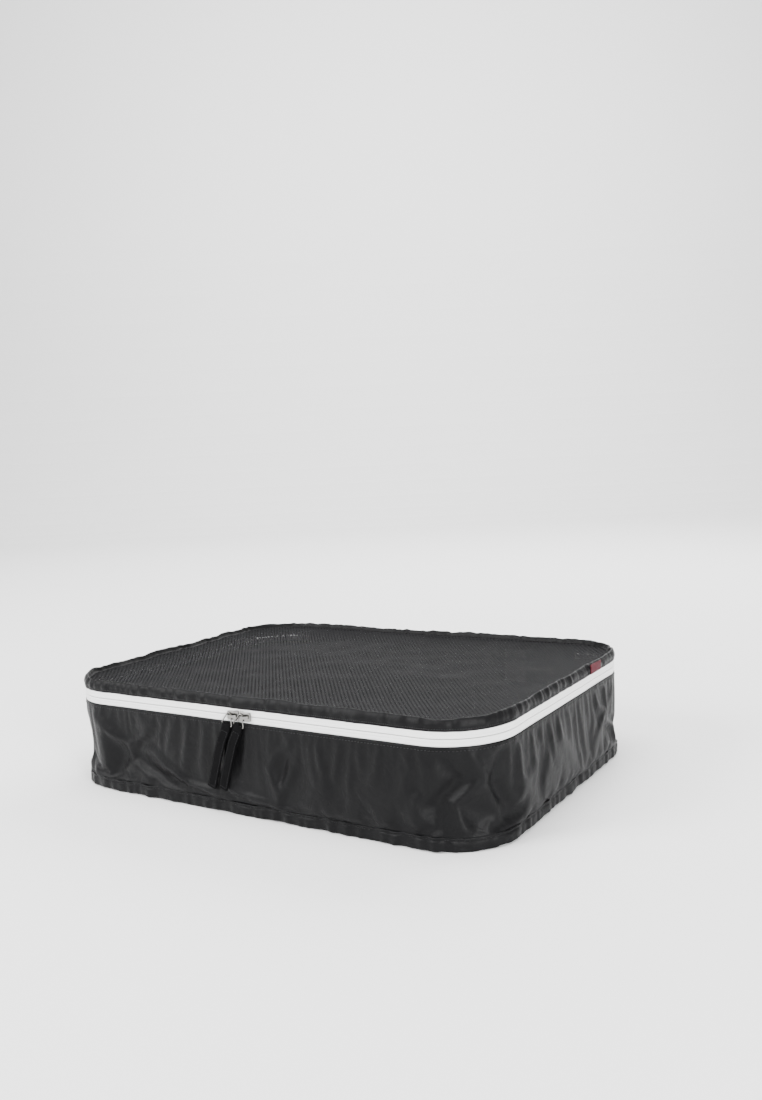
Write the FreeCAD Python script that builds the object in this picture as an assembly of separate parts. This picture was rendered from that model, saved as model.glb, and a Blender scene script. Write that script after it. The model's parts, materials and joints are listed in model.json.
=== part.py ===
"""Soft packing cube: a nylon box with a mesh lid that unzips round three sides.

Frame: +X to the right along the front, +Y to the back, +Z up, origin at the centre of the base's underside.
All sizes are in millimetres. Walls are swept round a rounded-rectangle outline: a profile is drawn in (u, z),
where u is the distance outside the outline, then extruded along each side and turned round each corner.
"""

import math
import os

import FreeCAD
import Part

V = FreeCAD.Vector

# ---- driving dimensions ------------------------------------------------------------------------
WIDTH = 440.0  # along X, at the zipper
DEPTH = 320.0  # along Y, at the zipper
CORNER = 55.0  # outline radius
HEM_TOP = 11.0  # welt round the base
TAPE_BOTTOM = 79.0  # lower edge of the white zipper band
ZIP_LINE = 85.0  # where the two tapes meet
TAPE_TOP = 91.0
RIM = 101.2  # top of the lid's fabric rim
BULGE = 4.5  # how far the walls belly out at mid height
CLOTH = 1.0  # wall thickness, stands for the folded and filled nylon
BINDING_THICK, BINDING_DEEP = 1.6, 7.0
ZIP_GAP = 0.9  # between the two tapes, room for the slider's post

HALF_W, HALF_D = WIDTH / 2, DEPTH / 2
STRAIGHT_X, STRAIGHT_Y = WIDTH - 2 * CORNER, DEPTH - 2 * CORNER
HINGE_Y, HINGE_Z = HALF_D + 0.4, ZIP_LINE
UP = V(0, 0, 1)


# ---- walls swept round the outline -------------------------------------------------------------
def profile_face(edges_or_points):
    """A face in the plane X = 0 from (u, z) points, or from edges already drawn there."""
    if isinstance(edges_or_points[0], tuple):
        points = [V(0, -HALF_D - u, z) for u, z in edges_or_points]
        wire = Part.makePolygon(points + points[:1])
    else:
        wire = Part.Wire(edges_or_points)
    return Part.Face(wire)


def section(u_in, u_out, z_low, z_high):
    """A rectangular profile."""
    return profile_face([(u_in, z_low), (u_out, z_low), (u_out, z_high), (u_in, z_high)])


def side(face, quarter):
    """The straight stretch of wall that faces -Y, +X, +Y or -X for quarter 0, 1, 2 or 3."""
    length = STRAIGHT_X if quarter % 2 == 0 else STRAIGHT_Y
    reach = HALF_D if quarter % 2 == 0 else HALF_W
    start = face.copy()
    start.translate(V(-length / 2, HALF_D - reach, 0))
    wall = start.extrude(V(length, 0, 0))
    wall.rotate(V(0, 0, 0), UP, 90 * quarter)
    return wall


def corner(face, quarter):
    """The corner that follows side number quarter, counter-clockwise from above."""
    centre = V(0, -HALF_D + CORNER, 0)
    bend = face.revolve(centre, UP, 90)
    bend.translate(-centre)
    bend.rotate(V(0, 0, 0), UP, 90 * quarter)
    sign_x, sign_y = ((1, -1), (1, 1), (-1, 1), (-1, -1))[quarter]
    bend.translate(V(sign_x * (HALF_W - CORNER), sign_y * (HALF_D - CORNER), 0))
    return bend


def ring(face, sides=(0, 1, 2, 3), corners=(0, 1, 2, 3)):
    """The profile swept along the sides and corners that are named, as one solid."""
    pieces = [side(face, q) for q in sides] + [corner(face, q) for q in corners]
    whole = pieces[0].multiFuse(pieces[1:])
    return whole.removeSplitter()


def three_sides(face):
    """Front, both ends and all four corners: everything but the back, as the zipper runs."""
    return ring(face, sides=(0, 1, 3))


def slab(u, z_low, z_high):
    """A plate with the outline's shape, offset by u."""
    half_w, half_d, radius = HALF_W + u, HALF_D + u, CORNER + u
    block = Part.makeBox(2 * half_w, 2 * half_d, z_high - z_low, V(-half_w, -half_d, z_low))
    upright = [e for e in block.Edges if abs(e.tangentAt(e.FirstParameter).z) > 0.9]
    return block.makeFillet(radius, upright)


def bellied_profile(z_low, z_high, skin=0.0, thick=CLOTH):
    """A wall that bulges outwards by BULGE between its seams, with its outer face offset by skin."""
    middle = (z_low + z_high) / 2

    def at(u, z):
        return V(0, -HALF_D - skin - u, z)

    outer = Part.Arc(at(0, z_low), at(BULGE, middle), at(0, z_high)).toShape()
    inner = Part.Arc(at(-thick, z_high), at(BULGE - thick, middle), at(-thick, z_low)).toShape()
    top = Part.LineSegment(at(0, z_high), at(-thick, z_high)).toShape()
    bottom = Part.LineSegment(at(-thick, z_low), at(0, z_low)).toShape()
    return profile_face([outer, top, inner, bottom])


# ---- body of the cube --------------------------------------------------------------------------
def base_panel():
    return slab(-0.6, 0.0, 1.2)


def base_hem():
    """The base seam's allowance, folded up outside and topstitched: a welt all round."""
    return ring(section(-0.6, 1.6, 0.0, HEM_TOP))


def gusset_wall():
    """One strip of nylon round the front, both ends and the corners."""
    return three_sides(bellied_profile(HEM_TOP, TAPE_BOTTOM))


def back_panel():
    """The strip between the ends of the gusset. The lid hinges on its top edge."""
    wall = ring(bellied_profile(HEM_TOP, TAPE_BOTTOM), sides=(2,), corners=())
    top_edge = ring(section(-CLOTH, 0, TAPE_BOTTOM, ZIP_LINE - 0.2), sides=(2,), corners=())
    return wall.fuse(top_edge).removeSplitter()


def base_seam_binding():
    """Binding tape over the raw edges inside the base seam."""
    return ring(section(-2.6, -0.7, 1.3, 9.3))


def rear_seam_bindings():
    """Bound seam allowances that stand inwards where the gusset meets the back panel."""
    fin = bellied_profile(HEM_TOP + 1.0, TAPE_BOTTOM - 3.0, skin=-CLOTH - 0.25, thick=BINDING_DEEP)
    fins = []
    for sign in (-1, 1):
        fins.append(fin.extrude(V(BINDING_THICK, 0, 0)))
        fins[-1].rotate(V(0, 0, 0), UP, 180)
        fins[-1].translate(V(sign * STRAIGHT_X / 2 + BINDING_THICK / 2, 0, 0))
    return Part.makeCompound(fins)


def care_label():
    """A folded satin label that hangs inside from the back panel's top seam."""
    return Part.makeBox(24, 0.5, 32, V(88, HALF_D - CLOTH - 0.5, ZIP_LINE - 0.2 - 32))


# ---- lid ---------------------------------------------------------------------------------------
RIM_SLOPE_IN = 12.5  # the rim's top strip slopes inwards and down to the mesh
MESH_EDGE_Z = 95.7
MESH_FLAT_U = -50.0  # the mesh sags from its edge to here, and is level inside
MESH_SAG = 5.2


def lid_border():
    """The nylon rim: upright above the zipper, then turned in and down to the mesh."""
    return ring(profile_face([
        (0, TAPE_TOP), (0, RIM - 1.0), (-1.2, RIM), (-RIM_SLOPE_IN, MESH_EDGE_Z + 1.2),
        (-RIM_SLOPE_IN, MESH_EDGE_Z), (-1.6, RIM - 1.4), (-CLOTH, RIM - 2.0), (-CLOTH, TAPE_TOP),
    ]))


def lid_back_strip():
    """The part of the rim that reaches down to the hinge line at the back."""
    return ring(section(-CLOTH, 0, ZIP_LINE + 0.2, TAPE_TOP), sides=(2,), corners=())


def lid_mesh():
    """The mesh panel, hanging a little below its edge."""
    edge_u, top, low = -RIM_SLOPE_IN, MESH_EDGE_Z + 0.6, MESH_EDGE_Z + 0.6 - MESH_SAG
    slope = ring(profile_face([
        (edge_u, top), (edge_u, top - CLOTH), (MESH_FLAT_U, low - CLOTH), (MESH_FLAT_U, low),
    ]))
    return slope.fuse(slab(MESH_FLAT_U, low - CLOTH, low)).removeSplitter()


def lid_mesh_binding():
    """Binding tape under the seam of mesh and rim."""
    return ring(section(-16.0, -9.0, MESH_EDGE_Z - 2.6, MESH_EDGE_Z - 1.4))


def seam_tab():
    """A small plain fabric tab caught in the lid's seam on the right end."""
    return Part.makeBox(0.8, 24, 8.6, V(HALF_W + 0.35, 52, TAPE_TOP + 0.1))


# ---- zipper ------------------------------------------------------------------------------------
TAPE_IN, TAPE_OUT = -0.9, 0.1  # tape faces, as u
COIL_DEEP, COIL_TALL = 2.0, 2.2
EDGE_LOW, EDGE_HIGH = ZIP_LINE - ZIP_GAP / 2, ZIP_LINE + ZIP_GAP / 2


def zipper_tape_lower():
    return three_sides(section(TAPE_IN, TAPE_OUT, TAPE_BOTTOM, EDGE_LOW))


def zipper_tape_upper():
    return three_sides(section(TAPE_IN, TAPE_OUT, EDGE_HIGH, TAPE_TOP))


def zipper_coil_lower():
    """The nylon coil's envelope, sewn on the inside of its tape."""
    return three_sides(section(TAPE_IN - COIL_DEEP, TAPE_IN, EDGE_LOW - COIL_TALL, EDGE_LOW))


def zipper_coil_upper():
    return three_sides(section(TAPE_IN - COIL_DEEP, TAPE_IN, EDGE_HIGH, EDGE_HIGH + COIL_TALL))


def zipper_end_tabs():
    """Fabric tabs over the cut ends of the lower tape, either side of the back panel."""
    tabs = []
    for sign in (-1, 1):
        x = sign * STRAIGHT_X / 2
        tabs.append(Part.makeBox(12, 0.7, 5.0, V(x - 6, HALF_D + 0.1, TAPE_BOTTOM)))
    return Part.makeCompound(tabs)


# ---- sliders: drawn with the nose, the wide end, to +X; the right one is its mirror image ---------
SLIDER_LONG, SLIDER_NOSE, SLIDER_TAIL = 12.0, 9.6, 7.4
PLATE = 1.4
OUTER_PLATE_Y = -HALF_D - 0.8  # the outer plate's inner face
INNER_PLATE_Y = -HALF_D + 3.4  # the inner plate's outer face
POST_THICK, POST_LONG = 0.5, 3.0
BRIDGE_HALF, BRIDGE_RISE, BRIDGE_BAR, BRIDGE_WIDE = 4.8, 3.9, 1.2, 2.2
LEG = BRIDGE_HALF - 1.05  # from the bridge's middle to its leg, where the ring's wire passes
MEETING_X = -1.9  # where the two noses meet
SLIDER_X = {"left": MEETING_X - SLIDER_LONG / 2 - 0.2, "right": MEETING_X + SLIDER_LONG / 2 + 0.2}
NOSE_WAY = {"left": 1, "right": -1}


def slider_plate(y_low):
    """A plate in the wall's plane, narrower at the tail, with its corners rounded."""
    half = SLIDER_LONG / 2
    nose, tail = SLIDER_NOSE / 2, SLIDER_TAIL / 2
    outline = [V(-half, y_low, -tail), V(0, y_low, -tail), V(half, y_low, -nose),
               V(half, y_low, nose), V(0, y_low, tail), V(-half, y_low, tail)]
    plate = Part.Face(Part.makePolygon(outline + outline[:1])).extrude(V(0, PLATE, 0))
    across = [e for e in plate.Edges if abs(e.tangentAt(e.FirstParameter).y) > 0.9]
    plate = plate.makeFillet(1.2, across)
    rims = [e for e in plate.Edges if abs(e.CenterOfMass.y - y_low) < 1e-6 or
            abs(e.CenterOfMass.y - y_low - PLATE) < 1e-6]
    return plate.makeFillet(0.35, rims)


def bridge():
    """The arch on the outer plate that the pull's ring is linked through."""
    foot = OUTER_PLATE_Y - PLATE + 0.3

    def arch(half, rise):
        a = Part.Arc(V(-half, foot, 0), V(0, foot - rise, 0), V(half, foot, 0)).toShape()
        return Part.Face(Part.Wire([a, Part.LineSegment(V(half, foot, 0), V(-half, foot, 0)).toShape()]))

    outer = arch(BRIDGE_HALF, BRIDGE_RISE).extrude(V(0, 0, BRIDGE_WIDE))
    inner = arch(BRIDGE_HALF - BRIDGE_BAR, BRIDGE_RISE - 1.1).extrude(V(0, 0, BRIDGE_WIDE))
    loop = outer.cut(inner)
    loop.translate(V(0, 0, -BRIDGE_WIDE / 2))
    return loop


def slider(which):
    """One die-cast slider: two plates, the post between them, a lip under the lower coil and the bridge."""
    outer = slider_plate(OUTER_PLATE_Y - PLATE)
    inner = slider_plate(INNER_PLATE_Y)
    post = Part.makeBox(POST_LONG, INNER_PLATE_Y - OUTER_PLATE_Y + 1.0, POST_THICK,
                        V(SLIDER_LONG / 2 - POST_LONG - 1.0, OUTER_PLATE_Y - 0.5, -POST_THICK / 2))
    lip = Part.makeBox(SLIDER_LONG / 2, 1.9, 0.7,
                       V(-SLIDER_LONG / 2 + 1.0, INNER_PLATE_Y - 1.4, -SLIDER_TAIL / 2 + 0.1))
    body = outer.multiFuse([inner, post, lip, bridge()])
    if NOSE_WAY[which] < 0:
        body = body.mirror(V(0, 0, 0), V(1, 0, 0))
    body.translate(V(SLIDER_X[which], 0, ZIP_LINE))
    return body


# ---- pulls: a ring on the left leg of each bridge, and a folded strap sewn round the ring's bar --
WIRE = 0.5  # ring wire radius
RING_HALF, RING_TOP_HALF = 5.4, 1.5  # bar and top, to the wire's centre before the corners are rounded
RING_DROP = 8.3  # from the leg to the bar that holds the strap
RING_ABOVE = 2.05  # wire centre above the leg's centre
RING_TURN, RING_TOP_TURN = 0.6, 1.3  # radii of the lower and the upper corners
RING_Y = OUTER_PLATE_Y - PLATE - 0.7
LEAN = 18.5  # degrees that the pulls lean to the left, seen from the front
STRAP_WIDE, STRAP_THICK, STRAP_LONG = 8.6, 1.8, 57.0
STRAP_OUT = 1.5  # strap centre beyond the wall's fullest point
BAR_CLEAR = 0.1


def pivot(which):
    """The left leg of that slider's bridge, which the ring hangs on."""
    return V(SLIDER_X[which] - LEG, RING_Y, ZIP_LINE)


def lean_over(shape, which):
    shape.rotate(pivot(which), V(0, 1, 0), LEAN)
    return shape


def rounded_wire(points, radii):
    """A closed wire through the points, with each corner turned at its own radius."""
    starts, ends, middles = [], [], []
    for k, (corner_point, radius) in enumerate(zip(points, radii)):
        back = (points[k - 1] - corner_point).normalize()
        on = (points[(k + 1) % len(points)] - corner_point).normalize()
        half_angle = back.getAngle(on) / 2
        cut = radius / math.tan(half_angle)
        inwards = (back + on).normalize()
        starts.append(corner_point + back * cut)
        ends.append(corner_point + on * cut)
        middles.append(corner_point + inwards * (radius / math.sin(half_angle) - radius))
    edges = []
    for k in range(len(points)):
        edges.append(Part.Arc(starts[k], middles[k], ends[k]).toShape())
        edges.append(Part.LineSegment(ends[k], starts[(k + 1) % len(points)]).toShape())
    return Part.Wire(edges)


def pull_ring(which):
    """A ring of round wire: a long bar below for the strap, and a narrow top round the leg."""
    p = pivot(which)
    corners = [p + V(x, 0, z) for x, z in ((-RING_HALF, -RING_DROP), (RING_HALF, -RING_DROP),
                                           (RING_TOP_HALF, RING_ABOVE), (-RING_TOP_HALF, RING_ABOVE))]
    path = rounded_wire(corners, [RING_TURN, RING_TURN, RING_TOP_TURN, RING_TOP_TURN])
    start = path.Edges[0].Vertexes[0].Point
    along = path.Edges[0].tangentAt(path.Edges[0].FirstParameter)
    circle = Part.Wire([Part.Circle(start, along, WIRE).toShape()])
    return lean_over(path.makePipeShell([circle], True, False), which)


def pull_strap(which):
    """Two layers folded round the bar: a short bend outwards, then straight down past the wall's belly."""
    p = pivot(which)
    bar = V(p.x - STRAP_WIDE / 2, p.y, p.z - RING_DROP)
    wide = V(STRAP_WIDE, 0, 0)
    far_y = -HALF_D - BULGE - STRAP_OUT
    bend_z = bar.z - 15.0
    end_z = bar.z - STRAP_LONG
    t = STRAP_THICK / 2

    def at(y, z):
        return V(bar.x, y, z)

    slope = math.atan2(p.y - far_y, bar.z - bend_z)
    dy, dz = t * math.cos(slope), t * math.sin(slope)
    strip = Part.Face(Part.makePolygon([
        at(p.y - dy, bar.z - 0.4 + dz), at(far_y - t, bend_z), at(far_y - t, end_z),
        at(far_y + t, end_z), at(far_y + t, bend_z), at(p.y + dy, bar.z - 0.4 - dz),
        at(p.y - dy, bar.z - 0.4 + dz),
    ])).extrude(wide)
    hole_radius = WIRE + BAR_CLEAR
    hub = Part.makeCylinder(hole_radius + 0.75, wide.x, bar, V(1, 0, 0))
    hole = Part.makeCylinder(hole_radius, wide.x + 2, bar - V(1, 0, 0), V(1, 0, 0))
    strap = strip.fuse(hub).cut(hole).removeSplitter()
    return lean_over(strap, which)


# ---- carrying handle on the left end -----------------------------------------------------------
HANDLE_X, HANDLE_Z = -HALF_W - 1.4, TAPE_BOTTOM - 1.2  # the line it is sewn on and turns about
HANDLE_HALF = 45.0  # from the middle to each leg's centre
HANDLE_REACH = 58.0
HANDLE_WIDE, HANDLE_THICK = 25.0, 1.6
HANDLE_DROOP = math.radians(50.0)  # below level, as stored
LEG_LONG = 30.0  # straight, and twisting a quarter turn


def handle_webbing():
    """Webbing whose ends lie flat in the seam, and whose legs twist so that its middle stands on edge."""
    out = V(-math.cos(HANDLE_DROOP), 0, -math.sin(HANDLE_DROOP))
    normal = V(-math.sin(HANDLE_DROOP), 0, math.cos(HANDLE_DROOP))
    along = V(0, 1, 0)
    origin = V(HANDLE_X, 0, HANDLE_Z)
    arc_reach = HANDLE_REACH - LEG_LONG
    stations = []
    for k in range(5):  # near leg, from the seam outwards
        share = k / 4
        stations.append((HANDLE_HALF, 1.0 + share * (LEG_LONG - 1.0), 0.0, share * math.pi / 2))
    for k in range(1, 8):  # round the top
        a = math.pi * k / 8
        stations.append((HANDLE_HALF * math.cos(a), LEG_LONG + arc_reach * math.sin(a), a, math.pi / 2))
    for k in range(5):  # far leg, back to the seam
        share = 1 - k / 4
        stations.append((-HANDLE_HALF, 1.0 + share * (LEG_LONG - 1.0), math.pi, share * math.pi / 2))
    wires = []
    for y, reach, turn, twist in stations:
        centre = origin + along * y + out * reach
        # across: the webbing's width, from along the seam to square to the loop's plane
        in_plane = along * math.cos(turn) + out * math.sin(turn) if 0 < turn < math.pi else along
        sign = 1 if turn < math.pi else -1
        across = in_plane * (math.cos(twist) * sign) + normal * math.sin(twist)
        if twist > math.pi / 2 - 1e-9:
            across = normal
        tangent = out * math.cos(turn) - along * math.sin(turn) * HANDLE_HALF / arc_reach
        tangent.normalize()
        flat = tangent.cross(across)
        flat.normalize()
        a, b = across * (HANDLE_WIDE / 2), flat * (HANDLE_THICK / 2)
        corners = [centre + a + b, centre + a - b, centre - a - b, centre - a + b]
        wires.append(Part.makePolygon(corners + corners[:1]))
    return Part.makeLoft(wires, True, False)


# ---- threads -----------------------------------------------------------------------------------
THREAD = 0.3  # thickness of a topstitch line


def hem_topstitch():
    return ring(section(1.62, 1.62 + THREAD, HEM_TOP - 1.8, HEM_TOP - 1.8 + THREAD))


def gusset_topstitch():
    """Runs on the nylon just under the zipper's lower tape."""
    z = TAPE_BOTTOM - 2.7
    return three_sides(section(0.75, 0.75 + THREAD, z, z + THREAD))


def lid_topstitch():
    """Runs on the lid's rim just above the zipper's upper tape."""
    z = TAPE_TOP + 1.6
    return three_sides(section(0.02, 0.02 + THREAD, z, z + THREAD))


NODES = {
    "base_panel": base_panel,
    "base_hem": base_hem,
    "gusset_wall": gusset_wall,
    "back_panel": back_panel,
    "base_seam_binding": base_seam_binding,
    "rear_seam_bindings": rear_seam_bindings,
    "care_label": care_label,
    "lid_border": lid_border,
    "lid_back_strip": lid_back_strip,
    "lid_mesh": lid_mesh,
    "lid_mesh_binding": lid_mesh_binding,
    "seam_tab": seam_tab,
    "zipper_tape_lower": zipper_tape_lower,
    "zipper_tape_upper": zipper_tape_upper,
    "zipper_coil_lower": zipper_coil_lower,
    "zipper_coil_upper": zipper_coil_upper,
    "zipper_end_tabs": zipper_end_tabs,
    "handle_webbing": handle_webbing,
    "hem_topstitch": hem_topstitch,
    "gusset_topstitch": gusset_topstitch,
    "lid_topstitch": lid_topstitch,
}
for which in ("left", "right"):
    NODES["slider_" + which] = lambda w=which: slider(w)
    NODES["pull_ring_" + which] = lambda w=which: pull_ring(w)
    NODES["pull_strap_" + which] = lambda w=which: pull_strap(w)


def main():
    os.makedirs("parts", exist_ok=True)
    for name, make in NODES.items():
        shape = make()
        solids = shape.Solids
        assert solids and all(s.isValid() and s.Volume > 0 for s in solids), name
        shape = solids[0] if len(solids) == 1 else Part.makeCompound(solids)
        shape.exportStep(os.path.join("parts", name + ".step"))
        box = shape.BoundBox
        print(f"{name}: {len(solids)} solid, {shape.Volume / 1000:.2f} cm3, x {box.XMin:.1f} {box.XMax:.1f}, "
              f"y {box.YMin:.1f} {box.YMax:.1f}, z {box.ZMin:.1f} {box.ZMax:.1f}")


main()
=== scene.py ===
import json
import math
import random

import bmesh
import bpy
from mathutils import Matrix, Vector, noise


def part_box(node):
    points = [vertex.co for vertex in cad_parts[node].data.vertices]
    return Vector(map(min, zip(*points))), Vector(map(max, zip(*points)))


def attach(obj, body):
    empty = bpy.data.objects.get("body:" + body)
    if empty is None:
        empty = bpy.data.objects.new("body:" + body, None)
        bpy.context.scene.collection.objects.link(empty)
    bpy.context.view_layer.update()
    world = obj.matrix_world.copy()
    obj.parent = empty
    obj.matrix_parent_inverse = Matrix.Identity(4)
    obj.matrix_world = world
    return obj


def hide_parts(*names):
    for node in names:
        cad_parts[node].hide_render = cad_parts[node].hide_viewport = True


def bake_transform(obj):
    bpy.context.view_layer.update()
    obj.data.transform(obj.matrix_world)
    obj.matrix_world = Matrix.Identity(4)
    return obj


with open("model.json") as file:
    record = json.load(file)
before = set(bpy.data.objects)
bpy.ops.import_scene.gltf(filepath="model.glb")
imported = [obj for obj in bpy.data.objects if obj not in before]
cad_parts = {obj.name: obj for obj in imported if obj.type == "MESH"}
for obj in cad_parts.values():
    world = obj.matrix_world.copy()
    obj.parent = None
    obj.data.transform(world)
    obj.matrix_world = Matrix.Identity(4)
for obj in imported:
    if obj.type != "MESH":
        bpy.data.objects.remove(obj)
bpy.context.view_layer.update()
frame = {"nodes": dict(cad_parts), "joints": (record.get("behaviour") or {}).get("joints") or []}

# ---- Walls --------------------------------------------------------------------------------------
# One strip of thin black nylon goes round the front, the ends and the corners, and a second one closes
# the back. Both are cut long and gathered into the seams above and below, so they hang in loose folds
# over the clothes and cave in at the corners. A cloth simulation lets them settle.
MM = 0.001
half_x, half_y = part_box("lid_border")[1].x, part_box("lid_border")[1].y
corner_radius = 55 * MM
straight_x, straight_y = half_x - corner_radius, half_y - corner_radius
hem_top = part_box("base_hem")[1].z
tape_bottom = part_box("zipper_tape_lower")[0].z
tape_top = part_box("zipper_tape_upper")[1].z
quarter = corner_radius * math.pi / 2
around = 4 * (straight_x + straight_y + quarter)


def core_point(place):
    """The nearest point to place, at its height, of the rectangle inside the corners' rounding."""
    x = max(-straight_x, min(straight_x, place.x))
    y = max(-straight_y, min(straight_y, place.y))
    return Vector((x, y, place.z))


def outward(place):
    """The level direction square to the cube's outline at the point of it nearest to place."""
    return (place - core_point(place)).normalized()


def path_length(place):
    """How far along the outline place is, counter-clockwise from the middle of the back."""
    x, y = place.x, place.y
    way = outward(place)
    turn = math.atan2(way.y, way.x)
    if abs(x) <= straight_x and y > 0:
        return -x if x <= 0 else around - x
    if abs(y) <= straight_y and x < 0:
        return straight_x + quarter + straight_y - y
    if abs(x) <= straight_x:
        return straight_x + quarter * 2 + straight_y * 2 + straight_x + x
    if abs(y) <= straight_y:
        return 3 * straight_x + quarter * 3 + 2 * straight_y + straight_y + y
    if x < 0 and y > 0:
        return straight_x + (turn - math.pi / 2) * corner_radius
    if x < 0:
        return straight_x + quarter + 2 * straight_y + (turn + math.pi) * corner_radius
    if y < 0:
        return 3 * straight_x + 2 * quarter + 2 * straight_y + (turn + math.pi / 2) * corner_radius
    return 3 * straight_x + 3 * quarter + 4 * straight_y + turn * corner_radius


def outline(bm, height, step):
    """A loop of edges round the cube's rounded outline."""
    corners = bmesh.ops.create_grid(bm, x_segments=1, y_segments=1, size=1.0)["verts"]
    bmesh.ops.scale(bm, vec=(half_x, half_y, 1), verts=corners)
    bmesh.ops.translate(bm, vec=(0, 0, height), verts=corners)
    bmesh.ops.bevel(bm, geom=corners, offset=corner_radius, segments=round(quarter / step),
                    profile=0.5, affect="VERTICES", material=-1)
    for edge in [e for e in bm.edges if e.calc_length() > 2 * step]:
        bmesh.ops.subdivide_edges(bm, edges=[edge], cuts=round(edge.calc_length() / step) - 1)
    bmesh.ops.delete(bm, geom=list(bm.faces), context="FACES_ONLY")
    return list(bm.edges)


def lay_out(bm):
    """Gives the cloth a flat layout in metres: along the outline, and up it by how far it has run."""
    flat = bm.loops.layers.uv.verify()
    rise = bm.verts.layers.float.get("rise")
    for face in bm.faces:
        lengths = [path_length(c.vert.co) for c in face.loops]
        for corner, length in zip(face.loops, lengths):
            if length < max(lengths) - around / 2:
                length += around
            corner[flat].uv = (length, corner.vert[rise])


def band(profile, step, closed=False, open_back=False):
    """Cloth round the outline: each step of profile is (distance outside the outline, height)."""
    bm = bmesh.new()
    row = bm.verts.layers.int.new("row")
    rise = bm.verts.layers.float.new("rise")
    edges = outline(bm, profile[0][1], step)
    for v in bm.verts:
        v.co += outward(v.co) * profile[0][0]
    run = 0.0
    for k in range(1, len(profile)):
        (out_a, z_a), (out_b, z_b) = profile[k - 1], profile[k]
        run += math.hypot(out_b - out_a, z_b - z_a)
        made = bmesh.ops.extrude_edge_only(bm, edges=edges)["geom"]
        verts = {g for g in made if isinstance(g, bmesh.types.BMVert)}
        edges = [g for g in made if isinstance(g, bmesh.types.BMEdge) and set(g.verts) <= verts]
        for v in verts:
            v.co += outward(v.co) * (out_b - out_a) + Vector((0, 0, z_b - z_a))
            v[row], v[rise] = k, run
    if open_back:
        behind = [f for f in bm.faces if f.calc_center_median().y > straight_y + 1e-4
                  and abs(f.calc_center_median().x) < straight_x]
        bmesh.ops.delete(bm, geom=behind, context="FACES")
    lay_out(bm)
    if closed:
        bmesh.ops.remove_doubles(bm, verts=bm.verts, dist=1e-6)
        if open_back:
            bmesh.ops.holes_fill(bm, edges=[e for e in bm.edges if e.is_boundary])
        bmesh.ops.recalc_face_normals(bm, faces=bm.faces)
    else:
        bm.normal_update()
        bm.faces.ensure_lookup_table()
        first = bm.faces[0]
        if first.normal.dot(outward(first.calc_center_median())) + 0.5 * first.normal.z < 0:
            bmesh.ops.reverse_faces(bm, faces=bm.faces)
    return bm


def as_piece(bm, name, body, slot, *nodes, paint=None):
    """Puts the mesh in the scene as a piece that rides on body and stands for nodes."""
    mesh = bpy.data.meshes.new(name)
    bm.to_mesh(mesh)
    bm.free()
    mesh.shade_smooth()
    piece = bpy.data.objects.new(name, mesh)
    bpy.context.collection.objects.link(piece)
    if paint:
        mesh.materials.append(paint)
    if body:
        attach(piece, body)
    if nodes:
        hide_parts(*nodes)
    return piece


def apply_modifiers(piece):
    """Makes what the modifiers show into the piece's own mesh."""
    bpy.context.view_layer.update()
    shown = piece.evaluated_get(bpy.context.evaluated_depsgraph_get())
    mesh = bpy.data.meshes.new_from_object(shown)
    old = piece.data
    piece.modifiers.clear()
    piece.data = mesh
    bpy.data.meshes.remove(old)


def ripple(place, size, seed):
    """A smooth random value from -1 to 1 that changes over about that size."""
    return noise.noise(place / size + Vector((seed * 7.31, seed * 3.17, seed * 5.77)))


def give_thickness(piece, thickness, offset, levels=0):
    """Turns a single layer of cloth into one with two faces, and smooths it."""
    if levels:
        smoothing = piece.modifiers.new("smoothing", "SUBSURF")
        smoothing.levels = smoothing.render_levels = levels
    wall = piece.modifiers.new("cloth", "SOLIDIFY")
    wall.thickness, wall.offset = thickness, offset


def round_edges(piece, width, segments=2):
    """Takes the sharpness off a piece's cut edges."""
    rounding = piece.modifiers.new("round", "BEVEL")
    rounding.width, rounding.segments = width, segments


def node_group(name, inputs, outputs):
    """An empty shader group with those sockets. Each is (socket type, name, default)."""
    group = bpy.data.node_groups.new(name, "ShaderNodeTree")
    for way, sockets in (("INPUT", inputs), ("OUTPUT", outputs)):
        for kind, label, *default in sockets:
            socket = group.interface.new_socket(label, in_out=way, socket_type=kind)
            if default:
                socket.default_value = default[0]
    return group, group.nodes.new("NodeGroupInput"), group.nodes.new("NodeGroupOutput")


def math_node(tree, operation, *values):
    """A Math node with those numbers or sockets on its inputs."""
    made = tree.nodes.new("ShaderNodeMath")
    made.operation = operation
    for socket, value in zip(made.inputs, values):
        if isinstance(value, bpy.types.NodeSocket):
            tree.links.new(value, socket)
        else:
            socket.default_value = value
    return made.outputs[0]


# Plain weave: two sets of threads that pass over and under each other.
weave, weave_in, weave_out = node_group(
    "plain_weave",
    [("NodeSocketVector", "Place"), ("NodeSocketFloat", "Thread", 0.0004),
     ("NodeSocketFloat", "Unevenness", 0.3)],
    [("NodeSocketFloat", "Height"), ("NodeSocketFloat", "Tone")])
place_parts = weave.nodes.new("ShaderNodeSeparateXYZ")
weave.links.new(weave_in.outputs["Place"], place_parts.inputs[0])
ways = []
for axis in (0, 1):
    turns = math_node(weave, "DIVIDE", place_parts.outputs[axis], weave_in.outputs["Thread"])
    ways.append(math_node(weave, "SINE", math_node(weave, "MULTIPLY", turns, math.pi)))
crossing = math_node(weave, "MULTIPLY", ways[0], ways[1])
slubs = weave.nodes.new("ShaderNodeTexNoise")
slubs.inputs["Scale"].default_value = 900
weave.links.new(weave_in.outputs["Place"], slubs.inputs["Vector"])
uneven = math_node(weave, "MULTIPLY", slubs.outputs["Fac"], weave_in.outputs["Unevenness"])
thread_height = math_node(weave, "ADD", math_node(weave, "ABSOLUTE", crossing), uneven)
weave.links.new(thread_height, weave_out.inputs["Height"])
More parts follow.
